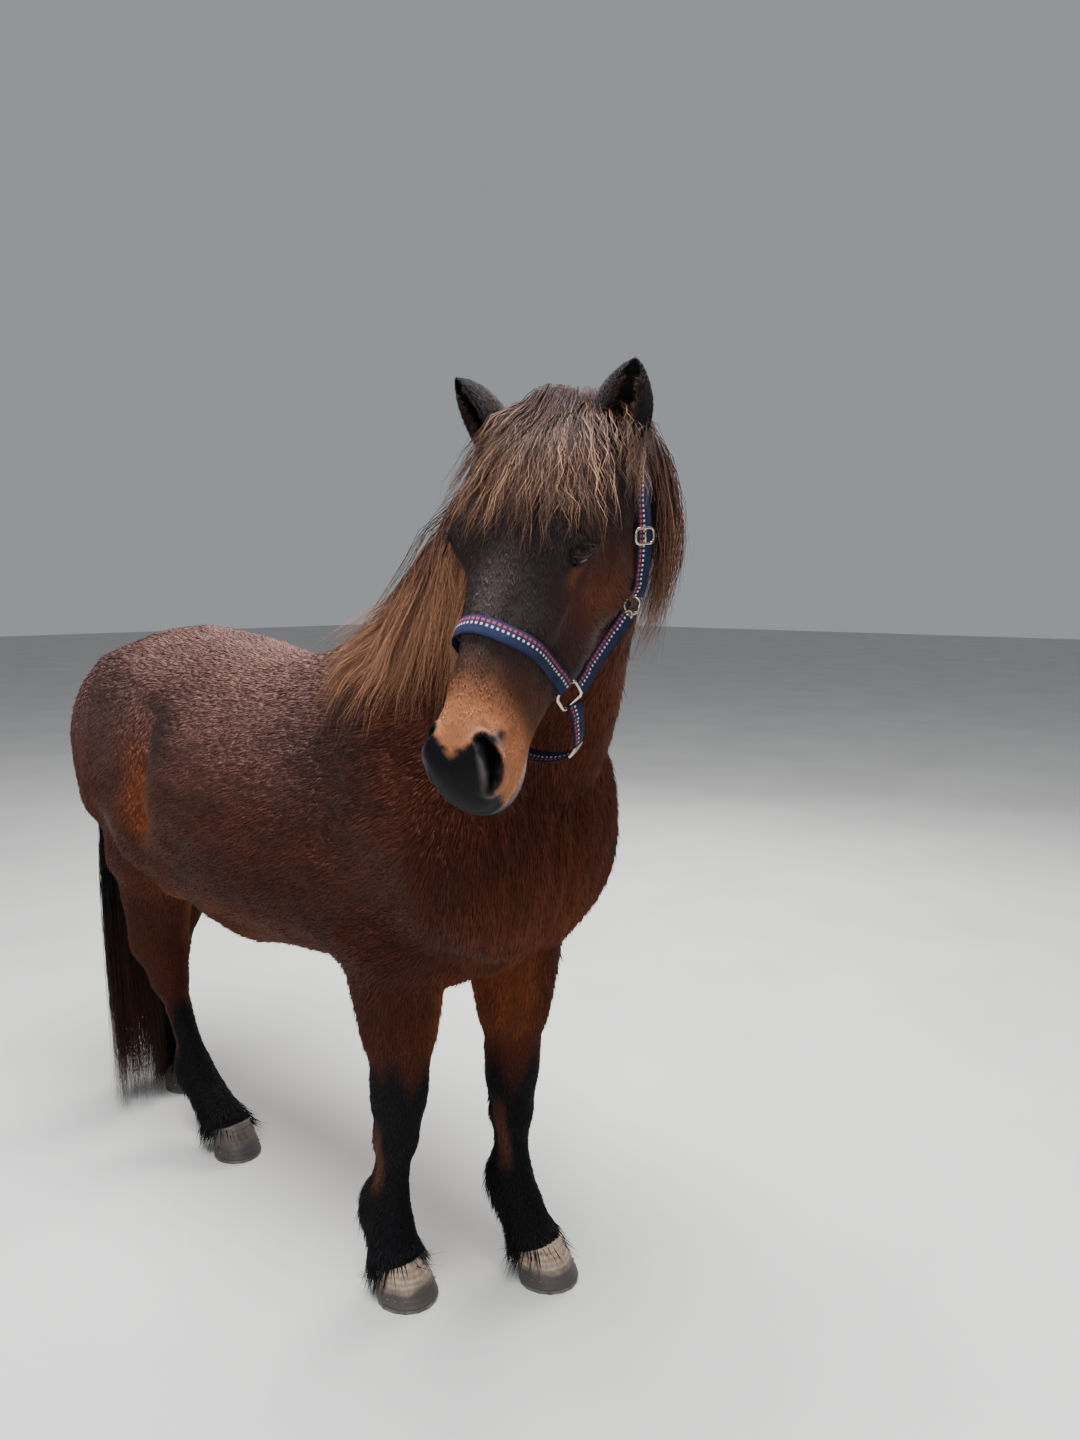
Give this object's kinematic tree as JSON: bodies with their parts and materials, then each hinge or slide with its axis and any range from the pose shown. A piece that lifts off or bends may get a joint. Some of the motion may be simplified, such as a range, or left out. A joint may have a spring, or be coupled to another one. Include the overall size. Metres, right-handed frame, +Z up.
{
  "type": "icelandic horse",
  "caption": "Life-size standing horse of a small, thick-maned breed, dark bay, shod, head turned to its right, wearing a webbing halter; a still display figure.",
  "frame": {"origin": "the point on the floor under the middle of the whole model's bounding box", "axes": "+Z up, the trunk faces -Y, the horse's own left side is +X"},
  "size_m": [0.8031, 2.1126, 1.7501],
  "materials": {
    "coat": "short dense fur, soft sheen",
    "coat_dark": "short dense fur, nearly black on the lower legs",
    "hair": "long coarse hair",
    "horn": "matt hoof horn with growth rings",
    "steel": "worn forged steel",
    "nickel": "worn plated metal",
    "webbing": "woven webbing",
    "eye": "wet gloss"
  },
  "bodies": {
    "root": {"foreleg_right": "coat_dark", "hoof_fore_right": "horn", "shoe_fore_right": "steel", "foreleg_left": "coat_dark", "hoof_fore_left": "horn", "shoe_fore_left": "steel", "hindleg_right": "coat_dark", "hoof_hind_right": "horn", "shoe_hind_right": "steel", "hindleg_left": "coat_dark", "hoof_hind_left": "horn", "shoe_hind_left": "steel", "halter_ring_right": "nickel", "halter_side_ring_right": "nickel", "halter_cheek_right": "webbing", "ear_right": "coat_dark", "eye_right": "eye", "halter_ring_left": "nickel", "halter_side_ring_left": "nickel", "halter_cheek_left": "webbing", "ear_left": "coat_dark", "eye_left": "eye", "halter_noseband": "webbing", "halter_crown": "webbing", "halter_throat": "webbing", "torso": "coat", "neck": "coat", "head": "coat_dark", "tail": "hair"}
  },
  "joints": []
}
